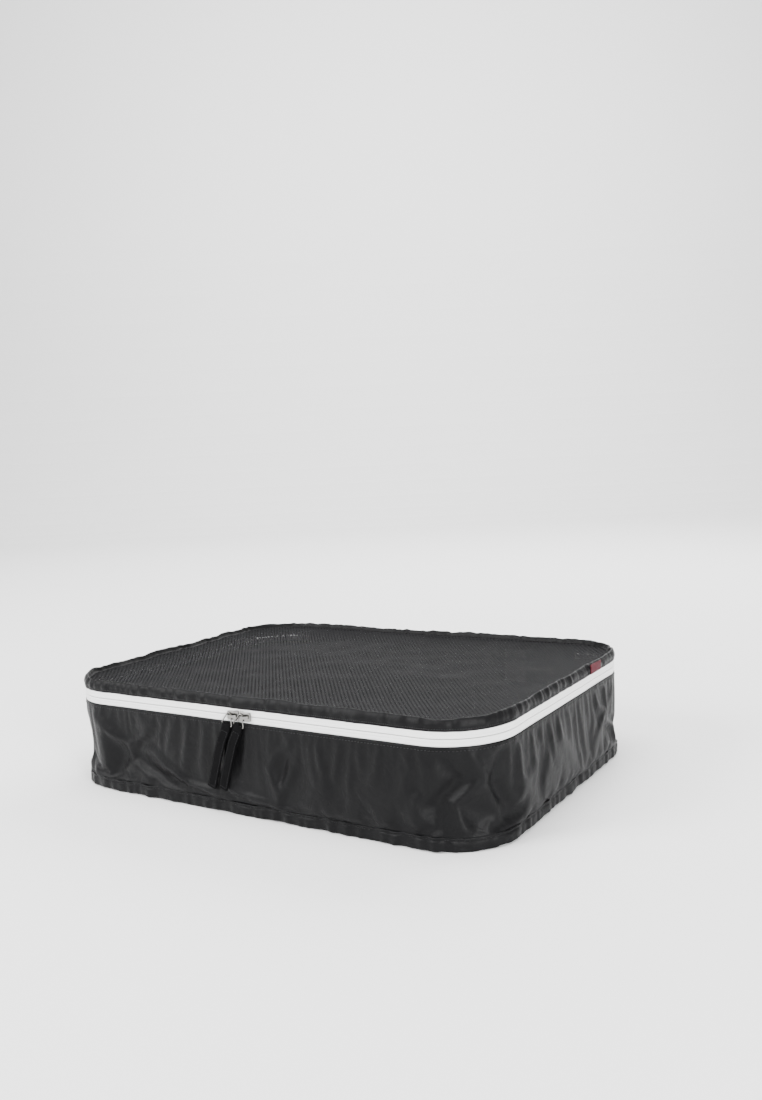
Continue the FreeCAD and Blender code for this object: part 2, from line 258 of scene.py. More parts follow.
weave.links.new(math_node(weave, "MULTIPLY_ADD", crossing, 0.5, 0.5), weave_out.inputs["Tone"])

# Handling marks: soft patches, large and small, that make a surface a little lighter and rougher.
marks, marks_in, marks_out = node_group(
    "handling_marks",
    [("NodeSocketVector", "Place"), ("NodeSocketColor", "Dark", (0.02, 0.02, 0.02, 1)),
     ("NodeSocketColor", "Light", (0.03, 0.03, 0.03, 1)), ("NodeSocketFloat", "Size", 0.05)],
    [("NodeSocketColor", "Colour"), ("NodeSocketFloat", "Amount")])
scaled = marks.nodes.new("ShaderNodeVectorMath")
scaled.operation = "DIVIDE"
marks.links.new(marks_in.outputs["Place"], scaled.inputs[0])
size_vector = marks.nodes.new("ShaderNodeCombineXYZ")
for k in range(3):
    marks.links.new(marks_in.outputs["Size"], size_vector.inputs[k])
marks.links.new(size_vector.outputs[0], scaled.inputs[1])
patches = marks.nodes.new("ShaderNodeTexNoise")
patches.inputs["Scale"].default_value = 1.0
patches.inputs["Detail"].default_value = 6.0
patches.inputs["Roughness"].default_value = 0.6
marks.links.new(scaled.outputs[0], patches.inputs["Vector"])
blend_marks = marks.nodes.new("ShaderNodeMix")
blend_marks.data_type = "RGBA"
marks.links.new(patches.outputs["Fac"], blend_marks.inputs["Factor"])
marks.links.new(marks_in.outputs["Dark"], blend_marks.inputs[6])
marks.links.new(marks_in.outputs["Light"], blend_marks.inputs[7])
marks.links.new(blend_marks.outputs[2], marks_out.inputs["Colour"])
marks.links.new(patches.outputs["Fac"], marks_out.inputs["Amount"])


def wear_in(tree, place, dark, light, size, rough):
    """Feeds colour and roughness from the handling marks. rough is (smoothest, roughest)."""
    shader = tree.nodes["Principled BSDF"]
    worn = tree.nodes.new("ShaderNodeGroup")
    worn.node_tree = marks
    worn.inputs["Dark"].default_value = (*dark, 1)
    worn.inputs["Light"].default_value = (*light, 1)
    worn.inputs["Size"].default_value = size
    tree.links.new(place, worn.inputs["Place"])
    tree.links.new(worn.outputs["Colour"], shader.inputs["Base Color"])
    spread = tree.nodes.new("ShaderNodeMapRange")
    spread.inputs["To Min"].default_value, spread.inputs["To Max"].default_value = rough
    tree.links.new(worn.outputs["Amount"], spread.inputs["Value"])
    tree.links.new(spread.outputs[0], shader.inputs["Roughness"])


def fabric(name, dark, light, thread, rough, depth, patch, sheen=0.0, coordinates="UV", gloss=0.5):
    """Woven cloth. thread is its weave's pitch, depth its relief and patch the size of its marks, in metres."""
    paint = bpy.data.materials.new(name)
    paint.use_nodes = True
    tree = paint.node_tree
    shader = tree.nodes["Principled BSDF"]
    where = tree.nodes.new("ShaderNodeTexCoord")
    threads = tree.nodes.new("ShaderNodeGroup")
    threads.node_tree = weave
    threads.inputs["Thread"].default_value = thread
    tree.links.new(where.outputs[coordinates], threads.inputs["Place"])
    wear_in(tree, where.outputs["Object"], dark, light, patch, rough)
    bump = tree.nodes.new("ShaderNodeBump")
    bump.inputs["Distance"].default_value = depth
    bump.inputs["Strength"].default_value = 0.8
    tree.links.new(threads.outputs["Height"], bump.inputs["Height"])
    tree.links.new(bump.outputs["Normal"], shader.inputs["Normal"])
    shader.inputs["Specular IOR Level"].default_value = gloss
    if sheen:
        shader.inputs["Sheen Weight"].default_value = sheen
        shader.inputs["Sheen Roughness"].default_value = 0.4
    return paint


def crumple_in(paint, depth):
    """Adds fine crumples over the weave, a few millimetres apart."""
    tree = paint.node_tree
    weave_bump = next(n for n in tree.nodes if n.type == "BUMP")
    fine = tree.nodes.new("ShaderNodeTexNoise")
    fine.inputs["Scale"].default_value = 85
    fine.inputs["Detail"].default_value = 3.5
    fine.inputs["Distortion"].default_value = 1.4
    tree.links.new(tree.nodes["Texture Coordinate"].outputs["Object"], fine.inputs["Vector"])
    bump = tree.nodes.new("ShaderNodeBump")
    bump.inputs["Distance"].default_value = depth
    bump.inputs["Strength"].default_value = 0.9
    tree.links.new(fine.outputs["Fac"], bump.inputs["Height"])
    tree.links.new(bump.outputs["Normal"], weave_bump.inputs["Normal"])


nylon = fabric("black_nylon", dark=(0.0024, 0.0024, 0.0027), light=(0.0045, 0.0045, 0.0049), thread=0.0003,
               rough=(0.36, 0.47), depth=0.00003, patch=0.05, gloss=0.1)
crumple_in(nylon, depth=0.0006)

WALL_STEP = 2.9 * MM
WALL_ROWS = 23
wall_foot, wall_rise = hem_top - 0.5 * MM, tape_bottom - hem_top + 0.8 * MM
STITCHED_ROW = WALL_ROWS - 1
wall_profile = [(0.55 * MM * math.exp(-0.5 * k), wall_foot + wall_rise * k / WALL_ROWS)
                for k in range(STITCHED_ROW)]
wall_profile += [(0.45 * MM, wall_foot + wall_rise * STITCHED_ROW / WALL_ROWS),
                 (0.35 * MM, wall_foot + wall_rise)]
front_middle = path_length(Vector((0, -half_y, 0)))

# The folds on the front, as (points along the fold, how far it stands out, its width), all in millimetres.
# A point is the distance right of the front's middle, which goes on round the corner, and the height.
FRONT_FOLDS = [
    ([(-178, 68), (-137, 47)], 2.4, 7), ([(-96, 70), (-134, 46)], 2.6, 7),
    ([(-134, 46), (-104, 43), (-63, 21), (-33, 17)], 2.3, 6), ([(-13, 21), (26, 16), (56, 11)], 2.0, 5),
    ([(-125, 36), (-75, 13)], -1.9, 8), ([(-141, 42), (-158, 14)], -2.8, 11),
    ([(-58, 76), (-68, 38)], 1.1, 5), ([(-41, 75), (-49, 37)], 1.0, 5), ([(-80, 75), (-86, 50)], 0.9, 5),
    ([(-16, 76), (-20, 40)], 1.1, 6), ([(6, 76), (0, 46)], 0.9, 5),
    ([(52, 73), (27, 47)], 2.6, 6), ([(27, 45), (35, 24)], 2.6, 5), ([(50, 44), (35, 24)], 2.6, 5),
    ([(42, 64), (36, 38)], -2.4, 9), ([(75, 76), (78, 54)], 1.1, 4.5), ([(97, 76), (91, 47)], 1.4, 5),
    ([(112, 76), (117, 56)], 1.1, 4.5), ([(133, 76), (130, 60)], 0.9, 4.5), ([(153, 76), (160, 62)], 1.0, 4.5),
    ([(84, 26), (85, 11)], 1.4, 5), ([(107, 33), (106, 10)], 2.0, 6), ([(135, 37), (133, 10)], 2.2, 6.5),
    ([(163, 40), (160, 10)], 2.0, 6), ([(121, 28), (120, 10)], -1.8, 6), ([(148, 30), (147, 10)], -1.8, 6),
    ([(176, 32), (174, 10)], -1.7, 6), ([(204, 77), (213, 55), (193, 36), (200, 12)], 3.2, 8),
    ([(181, 72), (194, 54), (177, 34)], -2.6, 9), ([(233, 72), (226, 50), (238, 26)], -3.2, 9)]


def folds_round():
    """The front's folds, and others like them scattered over the other sides, as (points, height, width)."""
    made = [([(front_middle + s * MM, z * MM) for s, z in points], height * MM, width * MM)
            for points, height, width in FRONT_FOLDS]
    chance = random.Random(11)
    front_low, front_high = front_middle - 180 * MM, front_middle + 240 * MM
    s = 0.0
    while s < around:
        s += chance.uniform(15, 26) * MM
        lean = chance.uniform(-7, 7) * MM
        top, bottom = (s, 76 * MM), (s + lean, chance.uniform(44, 64) * MM)
        foot = s + chance.uniform(-6, 6) * MM
        rise = chance.uniform(20, 38) * MM
        start = (s, chance.uniform(48, 70) * MM)
        end = (s + chance.choice((-1, 1)) * chance.uniform(20, 44) * MM, chance.uniform(16, 40) * MM)
        across = chance.uniform(1.4, 2.6) * MM
        if front_low < s < front_high:
            continue
        made.append(([top, bottom], chance.uniform(0.6, 1.1) * MM, chance.uniform(4, 6) * MM))
        made.append(([(foot, 9 * MM), (foot + lean * 0.4, rise)],
                     chance.uniform(0.9, 1.7) * MM, chance.uniform(4.5, 7) * MM))
        if chance.random() < 0.5:
            made.append(([start, end], across, chance.uniform(5, 8) * MM))
    return made


def fold_height(s, z, folds):
    """How far the folds stand out at length s along the outline and height z, most at each fold's middle."""
    total = 0.0
    for points, height, width in folds:
        nearest, share_at = math.inf, 0.0
        for k, ((s0, z0), (s1, z1)) in enumerate(zip(points, points[1:])):
            run_s, run_z = s1 - s0, z1 - z0
            share = ((s - s0) * run_s + (z - z0) * run_z) / (run_s * run_s + run_z * run_z)
            share = max(0.0, min(1.0, share))
            away = math.hypot(s - s0 - share * run_s, z - z0 - share * run_z)
            if away < nearest:
                nearest, share_at = away, (k + share) / (len(points) - 1)
        if nearest < 3 * width:
            across = math.exp(-(nearest / (0.72 * width)) ** 2)
            total += 1.35 * height * across * (0.5 + 0.5 * math.sin(math.pi * share_at))
    return total


BELLY, SWAY, FINE = 2.5 * MM, 1.7 * MM, 0.5 * MM
FOLD_REACH = 25 * MM
all_folds = folds_round()
walls = band(wall_profile, WALL_STEP)
wall_row = walls.verts.layers.int["row"]
back_mark = walls.verts.layers.int.new("back")
for v in walls.verts:
    v[back_mark] = int(v.co.y > half_y - 1e-5 and abs(v.co.x) < straight_x + 1e-5)
    share = min(1.0, v[wall_row] / STITCHED_ROW)
    belly = max(0.0, math.sin(math.pi * share))
    way = outward(v.co)
    at_corner = 4 * abs(way.x) * abs(way.y)
    push = BELLY * (1 - 1.1 * at_corner) * belly ** 0.8 + SWAY * ripple(v.co, 55 * MM, 3) * belly
    free = min(1.0, 3.2 * belly)
    s = path_length(v.co)
    near = [f for f in all_folds
            if min(p[0] for p in f[0]) - FOLD_REACH < s < max(p[0] for p in f[0]) + FOLD_REACH]
    v.co += way * (push + free * (fold_height(s, v.co.z, near) + FINE * ripple(v.co, 16 * MM, 5)))

wall_cloth = as_piece(walls, "wall_cloth", None, "nylon")
sewn = wall_cloth.vertex_groups.new(name="sewn")
for v, mark in zip(wall_cloth.data.vertices, wall_cloth.data.attributes["row"].data):
    if mark.value in (0, WALL_ROWS):
        sewn.add([v.index], 1.0, "REPLACE")
    elif mark.value == STITCHED_ROW:
        sewn.add([v.index], 0.5, "REPLACE")


def settle(piece, held, frames, loose, pressure, stiffness, bending, gravity=1.0):
    """Lets cloth fall into place. The vertices in the group held stay where they are sewn."""
    cloth = piece.modifiers.new("settling", "CLOTH")
    rules = cloth.settings
    rules.quality = 5
    rules.mass = 0.15
    rules.tension_stiffness = rules.compression_stiffness = stiffness
    rules.shear_stiffness = stiffness * 0.4
    rules.bending_stiffness = bending
    rules.tension_damping = rules.compression_damping = 12
    rules.bending_damping = 1.0
    rules.air_damping = 3.0
    rules.shrink_min = -loose
    rules.vertex_group_mass = held
    rules.pin_stiffness = 1.0
    rules.use_pressure = pressure != 0
    rules.uniform_pressure_force = pressure
    rules.effector_weights.gravity = gravity
    cloth.collision_settings.use_collision = False
    cloth.point_cache.frame_start, cloth.point_cache.frame_end = 1, frames
    for f in range(1, frames + 1):
        bpy.context.scene.frame_set(f)
    apply_modifiers(piece)
    bpy.context.scene.frame_set(1)


settle(wall_cloth, "sewn", frames=14, loose=0.025, pressure=0.5, stiffness=22, bending=0.9, gravity=0.6)

# The pulls run along the front, so the cloth stays behind the way they take: what stands out past soft is
# eased back, and it never passes soft and EASE together. The way narrows towards the zipper.
BULGE_MOST, EASE = 4.7 * MM, 1.2 * MM
NARROWS_FROM, NARROWING, SEAM_HEIGHT = 61 * MM, 0.235, 76 * MM
for v in wall_cloth.data.vertices:
    out = (v.co - core_point(v.co)).length - corner_radius
    soft = BULGE_MOST - max(0.0, v.co.z - NARROWS_FROM) * NARROWING - EASE
    if out > soft and v.co.z < SEAM_HEIGHT:
        v.co += outward(v.co) * (soft + EASE * (1 - math.exp((soft - out) / EASE)) - out)


def part_of_walls(back):
    """The back panel, or everything but the back panel, cut from the settled cloth."""
    bm = bmesh.new()
    bm.from_mesh(wall_cloth.data)
    mark = bm.verts.layers.int["back"]
    other = [f for f in bm.faces if all(v[mark] for v in f.verts) != back]
    bmesh.ops.delete(bm, geom=other, context="FACES")
    return bm


CLOTH = 0.5 * MM
gusset = as_piece(part_of_walls(back=False), "gusset_cloth", "shell", "nylon", "gusset_wall", paint=nylon)

# The back panel runs on up past the level of the zipper to the lid, where the lid hinges, between
# the lower and the upper edge of the zipper band.
back = part_of_walls(back=True)
back_row = back.verts.layers.int["row"]
edges = [e for e in back.edges if all(v[back_row] == WALL_ROWS for v in e.verts)]
HINGE_ROWS = 6
for k in range(HINGE_ROWS):
    made = bmesh.ops.extrude_edge_only(back, edges=edges)["geom"]
    verts = {g for g in made if isinstance(g, bmesh.types.BMVert)}
    edges = [g for g in made if isinstance(g, bmesh.types.BMEdge) and set(g.verts) <= verts]
    share = (k + 1) / HINGE_ROWS
    for v in verts:
        v.co.z += (tape_top + 0.4 * MM - wall_profile[-1][1]) / HINGE_ROWS
        v.co.y = half_y + 0.5 * MM * math.sin(math.pi * share) + 0.35 * MM * ripple(v.co, 11 * MM, 9)
        v[back_row] = WALL_ROWS + k + 1
bmesh.ops.recalc_face_normals(back, faces=back.faces)
back.faces.ensure_lookup_table()
if sum(f.normal.y for f in back.faces) < 0:
    bmesh.ops.reverse_faces(back, faces=back.faces)
lay_out(back)
back_wall = as_piece(back, "back_cloth", None, "nylon", "back_panel", "lid_back_strip", paint=nylon)
bpy.data.objects.remove(wall_cloth)
give_thickness(gusset, CLOTH, -1, levels=1)
give_thickness(back_wall, CLOTH, -1, levels=1)
apply_modifiers(back_wall)
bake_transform(back_wall)

# ---- Base ---------------------------------------------------------------------------------------
# One piece of the same nylon lies on the ground, never quite smooth. Its edge is sewn in with the walls
# all round, and strays with the puckered seam.
def rounded_sheet(half_wide, half_deep, radius, step):
    """A level grid of cloth with rounded corners, laid out flat in metres."""
    bm = bmesh.new()
    bmesh.ops.create_grid(bm, x_segments=round(2 * half_wide / step), y_segments=round(2 * half_deep / step),
                          size=1.0)
    bmesh.ops.scale(bm, vec=(half_wide, half_deep, 1), verts=bm.verts)
    for v in bm.verts:
        over_x, over_y = abs(v.co.x) - (half_wide - radius), abs(v.co.y) - (half_deep - radius)
        if over_x > 0 and over_y > 0:
            shrink = max(over_x, over_y) / math.hypot(over_x, over_y)
            v.co.x = math.copysign(half_wide - radius + over_x * shrink, v.co.x)
            v.co.y = math.copysign(half_deep - radius + over_y * shrink, v.co.y)
    flat = bm.loops.layers.uv.verify()
    for face in bm.faces:
        for corner in face.loops:
            corner[flat].uv = corner.vert.co.xy
    return bm


def from_edge(place, half_wide, half_deep, radius):
    """How far inside a rounded rectangle place is."""
    over_x, over_y = abs(place.x) - (half_wide - radius), abs(place.y) - (half_deep - radius)
    if over_x > 0 and over_y > 0:
        return radius - math.hypot(over_x, over_y)
    return min(half_wide - abs(place.x), half_deep - abs(place.y))


def hem_pucker(place):
    """How the welt round the base strays from its even course, as (outwards, up)."""
    spot = Vector((place.x, place.y, place.z * 0.3))
    out = 1.6 * ripple(spot, 6 * MM, 31) + 0.8 * ripple(spot, 19 * MM, 32) + 0.6 * ripple(spot, 60 * MM, 34)
    up = 1.2 * ripple(spot, 34 * MM, 33) + 0.9 * ripple(spot, 9 * MM, 35)
    return out * MM, up * MM


def crease(place, size, seed, sharpness):
    """1 along the lines of creases that far apart, falling to 0 beside them."""
    return max(0.0, 1 - abs(ripple(place, size, seed)) * sharpness)


BASE_STEP = 4 * MM
BASE_LOWEST, BASE_LEVEL = 0.55 * MM, 0.9 * MM
base = rounded_sheet(half_x, half_y, corner_radius, BASE_STEP)
for v in base.verts:
    inside = from_edge(v.co, half_x, half_y, corner_radius)
    loose = min(1.0, inside / (25 * MM))
    creased = crease(v.co, 60 * MM, 21, 5) * 0.9 + crease(v.co, 33 * MM, 22, 4) * 0.5
    edge = Vector((v.co.x, v.co.y, 0)) + outward(Vector((v.co.x, v.co.y, 0))) * inside
    out, up = hem_pucker(edge + Vector((0, 0, 0.5 * MM)))
    sewn_in = math.exp(-inside / (5 * MM))
    v.co += outward(edge) * (0.5 * out + 0.2 * MM) * sewn_in
    lying = max(BASE_LOWEST, BASE_LEVEL + sewn_in * (up + 0.4 * MM))
    v.co.z = lying + loose * MM * (0.5 * abs(ripple(v.co, 40 * MM, 20)) + creased)
base_cloth = as_piece(base, "base_cloth", "shell", "nylon", "base_panel", paint=nylon)
give_thickness(base_cloth, CLOTH, -1, levels=1)

# The seam allowances of base and walls are turned up outside and topstitched, which makes a puckered
# welt that the cube stands on.
HEM_STEP = 2.0 * MM
hem_profile = [(u * MM, z * MM) for u, z in (
    (-0.7, 1.0), (0.2, 0.5), (1.0, 0.6), (1.45, 1.4), (1.3, 3.0), (1.5, 5.0), (1.5, 6.9), (1.1, 8.3),
    (0.8, 9.1), (1.2, 9.9), (1.1, 10.7), (0.5, 11.2), (-0.3, 10.9), (-0.6, 9.2), (-0.7, 5.0), (-0.7, 1.0))]
HEM_STITCHED, HEM_INNER = 8, (0, 13, 14)
HEM_LOWEST = 0.25 * MM
hem = band(hem_profile, HEM_STEP, closed=True)
hem_row = hem.verts.layers.int["row"]
for v in hem.verts:
    out, up = hem_pucker(v.co)
    held = 0.3 if v[hem_row] == HEM_STITCHED else 1.0
    v.co += outward(v.co) * out * held * (0.5 if v[hem_row] in HEM_INNER else 1.0)
    v.co.z = max(HEM_LOWEST, v.co.z + up + 0.5 * MM)
hem_cloth = as_piece(hem, "base_welt", "shell", "nylon", "base_hem", paint=nylon)
smoothing = hem_cloth.modifiers.new("smoothing", "SUBSURF")
smoothing.levels = smoothing.render_levels = 1

# ---- Seam bindings ------------------------------------------------------------------------------
# Inside, every raw edge is wrapped in narrow black binding tape: round the base, and down the two seams
# between the walls and the back panel.
binding_tape = fabric("black_binding", dark=(0.011, 0.011, 0.012), light=(0.019, 0.019, 0.02), thread=0.0007,
                      rough=(0.6, 0.75), depth=0.00012, patch=0.02, gloss=0.1)
BINDING_STEP = 4 * MM
base_binding_profile = [(u * MM, z * MM) for u, z in (
    (-0.7, 1.6), (-1.5, 1.4), (-2.3, 1.8), (-2.6, 3.2), (-2.5, 7.4), (-2.2, 8.8), (-1.5, 9.4), (-0.9, 9.0),
    (-0.7, 7.5), (-0.7, 1.6))]
base_binding = band(base_binding_profile, BINDING_STEP, closed=True)
for v in base_binding.verts:
    lean = 0.5 * MM * ripple(v.co, 16 * MM, 41)
    up = 0.5 * MM * ripple(v.co, 25 * MM, 42)
    v.co += outward(v.co) * (min(0.0, lean) - 0.1 * MM) + Vector((0, 0, up))
bound_base = as_piece(base_binding, "base_binding", "shell", "binding", "base_seam_binding", paint=binding_tape)

rear_edges = bmesh.new()
FIN_DEEP = 7 * MM
for side in (-1, 1):
    foot = Vector((side * straight_x, half_y - 1.0 * MM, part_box("rear_seam_bindings")[0].z))
    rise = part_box("rear_seam_bindings")[1].z - foot.z
    fin = bmesh.ops.create_grid(rear_edges, x_segments=5, y_segments=22, size=0.5)["verts"]
    for v in fin:
        inwards, up = v.co.x + 0.5, v.co.y + 0.5
        belly = 3.2 * MM * math.sin(math.pi * up)
        v.co = foot + Vector((0, belly - 0.4 * MM - inwards * FIN_DEEP, up * rise))
        v.co.x += 1.2 * MM * ripple(v.co, 17 * MM, 43) * inwards
bound_sides = as_piece(rear_edges, "rear_bindings", "shell", "binding", "rear_seam_bindings",
                       paint=binding_tape)
give_thickness(bound_sides, 1.5 * MM, 0)
round_edges(bound_sides, 0.4 * MM)

# ---- Care label ---------------------------------------------------------------------------------
# A blank satin ribbon, folded double, is caught in the seam at the top of the back panel, inside. It hangs
# free below the seam and curls a little away from the panel.
satin = fabric("dark_satin", dark=(0.03, 0.03, 0.032), light=(0.045, 0.045, 0.047), thread=0.00035,
               rough=(0.32, 0.45), depth=0.00003, patch=0.02, sheen=0.1, coordinates="Object")
LABEL_CURL = 3.5 * MM
label_low, label_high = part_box("care_label")
label = bmesh.new()
bmesh.ops.create_grid(label, x_segments=8, y_segments=16, size=0.5)
for v in label.verts:
    across, down = v.co.x, 0.5 - v.co.y
    curl = LABEL_CURL * down ** 2 * (1 + 0.5 * math.sin(5 * across))
    v.co = Vector(((label_low.x + label_high.x) / 2 + across * (label_high.x - label_low.x),
                   label_low.y - curl, label_high.z - down * (label_high.z - label_low.z)))
ribbon = as_piece(label, "care_ribbon", "shell", "label", "care_label", paint=satin)
give_thickness(ribbon, 0.4 * MM, 0)

# ---- Zipper -------------------------------------------------------------------------------------
# White coil zipper, set in with its coil inside. From outside only the two woven tapes show, each folded
# round its coil in a soft ridge along the edge where they meet. The lower one is sewn to the walls and the
# upper one to the lid.
zip_tape = fabric("white_zip_tape", dark=(0.78, 0.78, 0.775), light=(0.88, 0.88, 0.875), thread=0.00055,
                  rough=(0.62, 0.78), depth=0.00008, patch=0.03, sheen=0.1)
TAPE_STEP = 2.6 * MM


def zip_profile(edge, seam):
    """One tape's outline from its seam to the edge that meets the other, and back inside."""
    way = 1 if edge > seam else -1

    def at(out, from_edge_mm):
        return (out * MM, edge - way * from_edge_mm * MM)

    tucked = seam - way * 0.5 * MM
    return [(-0.4 * MM, tucked), at(0.0, 5.0), at(0.12, 3.1), at(-0.05, 2.75), at(-0.05, 2.6),
            at(0.3, 2.3), at(0.5, 1.5), at(0.5, 0.7), at(0.25, 0.15), at(-0.2, 0.0), at(-0.7, 0.25),
            at(-0.85, 2.5), at(-0.85, 4.6), (-0.9 * MM, tucked), (-0.4 * MM, tucked)]


def tape_wander(place):
    """The band is never dead straight: a slight wave, as (outwards, up)."""
    level = Vector((place.x, place.y, 0))
    return 0.35 * MM * ripple(level, 37 * MM, 51), 0.3 * MM * ripple(level, 60 * MM, 52)


TAPES_CLOSER = 0.28 * MM
edge_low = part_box("zipper_tape_lower")[1].z + TAPES_CLOSER
edge_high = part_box("zipper_tape_upper")[0].z - TAPES_CLOSER
for name, node, body, edge, seam in (("lower_tape", "zipper_tape_lower", "shell", edge_low, tape_bottom),
                                     ("upper_tape", "zipper_tape_upper", "lid", edge_high, tape_top)):
    tape = band(zip_profile(edge, seam), TAPE_STEP, closed=True, open_back=True)
    for v in tape.verts:
        out, up = tape_wander(v.co)
        v.co += outward(v.co) * out + Vector((0, 0, up))
    as_piece(tape, name, body, "zip_tape", node, paint=zip_tape)

# Each coil is one nylon thread wound into turns, a little over a millimetre apart, on the inside of its tape.
coil_nylon = fabric("white_coil", dark=(0.76, 0.76, 0.74), light=(0.86, 0.86, 0.84), thread=0.0008,
                    rough=(0.3, 0.4), depth=0.00001, patch=0.02, coordinates="Object")


def on_outline(length, out=0.0):
    """The place that far along the outline, counter-clockwise from the back's middle, and its outward way."""
    core, angle, left = Vector((0, straight_y, 0)), math.pi / 2, length % around
    for run in (straight_x, 2 * straight_y, 2 * straight_x, 2 * straight_y, straight_x):
        step = min(left, run)
        core += Vector((-math.sin(angle), math.cos(angle), 0)) * step
        left -= step
        turn = min(left, quarter)
        angle += turn / corner_radius
        left -= turn
    way = Vector((math.cos(angle), math.sin(angle), 0))
    return core + way * (corner_radius + out), way


COIL_PITCH, COIL_RADIUS, COIL_WIRE = 1.35 * MM, 0.85 * MM, 0.27 * MM
COIL_INSIDE, COIL_SHORT = 1.8 * MM, 1 * MM
coil_turn = bmesh.new()
wire = bmesh.ops.create_circle(coil_turn, cap_ends=False, segments=5, radius=COIL_WIRE)["verts"]
bmesh.ops.rotate(coil_turn, verts=wire, cent=(0, 0, 0), matrix=Matrix.Rotation(math.pi / 2, 3, "X"))
bmesh.ops.translate(coil_turn, verts=wire, vec=(0, 0, COIL_RADIUS))
bmesh.ops.spin(coil_turn, geom=list(coil_turn.verts) + list(coil_turn.edges), cent=(0, 0, 0), axis=(0, 1, 0),
               angle=math.radians(290), steps=7, use_merge=False, dvec=(0, 0, 0))
for v in coil_turn.verts:
    v.co.x *= 0.8
    v.co.y += math.atan2(v.co.x, v.co.z) / (2 * math.pi) * COIL_PITCH * 0.6
bmesh.ops.recalc_face_normals(coil_turn, faces=coil_turn.faces)


def as_pattern(bm):
    """A mesh to copy many times."""
    pattern = bpy.data.meshes.new("pattern")
    bm.to_mesh(pattern)
    bm.free()
    return pattern


def copy_of(pattern, bm):
    """Adds a copy of the pattern to bm and gives its vertices."""
    before = len(bm.verts)
    bm.from_mesh(pattern)
    bm.verts.ensure_lookup_table()
    return bm.verts[before:]


turn_mesh = as_pattern(coil_turn)
first_turn, last_turn = straight_x + COIL_SHORT, around - straight_x - COIL_SHORT
for name, node, body, height, offset in (
        ("lower_coil", "zipper_coil_lower", "shell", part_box("zipper_coil_lower")[1].z - COIL_RADIUS, 0.0),
        ("upper_coil", "zipper_coil_upper", "lid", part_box("zipper_coil_upper")[0].z + COIL_RADIUS, 0.5)):
    coil = bmesh.new()
    for k in range(int((last_turn - first_turn) / COIL_PITCH)):
        middle, way = on_outline(first_turn + (k + offset) * COIL_PITCH, -COIL_INSIDE)
        verts = copy_of(turn_mesh, coil)
        out, up = tape_wander(middle)
        along = Vector((-way.y, way.x, 0))
        place = Matrix((way, along, (0, 0, 1))).transposed().to_4x4()
        place.translation = middle + way * (out * 0.5 - 0.1 * MM) + Vector((0, 0, height + up * 0.5))
        bmesh.ops.transform(coil, matrix=place, verts=verts)
    as_piece(coil, name, body, "zip_coil", node, paint=coil_nylon)
bpy.data.meshes.remove(turn_mesh)

# Little folded tabs of nylon cover the cut ends of the lower tape at the back.
TAB_WIDE, TAB_THICK, TAB_SHORT = 12 * MM, 0.9 * MM, 0.8 * MM
tabs = bmesh.new()
tab_low, tab_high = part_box("zipper_end_tabs")
for side in (-1, 1):
    tab = bmesh.ops.create_cube(tabs, size=1.0)["verts"]
    bmesh.ops.scale(tabs, vec=(TAB_WIDE, TAB_THICK, tab_high.z - tab_low.z - TAB_SHORT), verts=tab)
    middle = (side * straight_x, (tab_low.y + tab_high.y) / 2, (tab_low.z + tab_high.z) / 2)
    bmesh.ops.translate(tabs, vec=middle, verts=tab)
level_edges = [e for e in tabs.edges if abs((e.verts[0].co - e.verts[1].co).x) > TAB_WIDE / 2]
bmesh.ops.subdivide_edges(tabs, edges=level_edges, cuts=7)
for v in tabs.verts:
    v.co.y += 0.25 * MM * ripple(v.co, 5 * MM, 55)
end_tabs = as_piece(tabs, "zip_end_tabs", "shell", "nylon", "zipper_end_tabs", paint=nylon)
round_edges(end_tabs, 0.3 * MM, segments=3)

# ---- Lid ----------------------------------------------------------------------------------------
# A strip of nylon stands up above the zipper as a puckered rim. It is turned in at the top, and the mesh
# is sewn to its inner edge.
RIM_STEP, PUCKER, PUCKERS_APART = 1.9 * MM, 1.4 * MM, 6.2 * MM
rim_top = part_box("lid_border")[1].z


def gathers(place, size, seed):
    """Little upright puckers, as a stitched edge draws up, about that far apart."""
    angle, ring = 2 * math.pi * path_length(place) / around, around / (2 * math.pi * size)
    spot = Vector((ring * math.cos(angle) + seed * 0.37, ring * math.sin(angle), place.z / size * 0.22 + 0.4))
    return noise.noise(spot) + 0.5 * noise.noise(spot * 1.63)


def rim_wave(place, height):
    """How the rim strays, as (outwards, up): nothing at the zipper, most at its top."""
    free = max(0.0, min(1.2, (height - tape_top) / (rim_top - tape_top)))
    level = Vector((place.x, place.y, 0))
    out = 1.5 * ripple(level, 38 * MM, 61) + 0.9 * ripple(level, 14 * MM, 62)
    up = 1.9 * ripple(level, 60 * MM, 63) + 1.0 * ripple(level, 17 * MM, 64)
    return out * MM * free, up * MM * free


rim_profile = [(u * MM, z * MM) for u, z in (
    (0.15, 90.5), (0.5, 91.0), (0.6, 91.7), (0.35, 92.5), (0.6, 93.5), (0.7, 94.9), (0.45, 96.4), (0.0, 97.9),
    (-0.6, 99.2), (-1.2, 100.2), (-1.9, 100.5), (-2.5, 100.0), (-2.9, 99.0), (-3.3, 97.8), (-3.9, 96.6),
    (-4.9, 95.8))]
RIM_STITCHED, RIM_FREE = 3, 7
rim = band(rim_profile, RIM_STEP)
rim_row = rim.verts.layers.int["row"]
for v in rim.verts:
    out, up = rim_wave(v.co, v.co.z)
    puckered = 0.35 if v[rim_row] <= RIM_STITCHED else 1.0
    pucker = puckered * PUCKER * gathers(v.co, PUCKERS_APART, 65)
    v.co += outward(v.co) * (out + pucker) + Vector((0, 0, up + 0.5 * pucker * (v[rim_row] > RIM_FREE)))
rim_cloth = as_piece(rim, "lid_rim", "lid", "nylon", "lid_border", paint=nylon)
give_thickness(rim_cloth, 0.6 * MM, -1, levels=1)


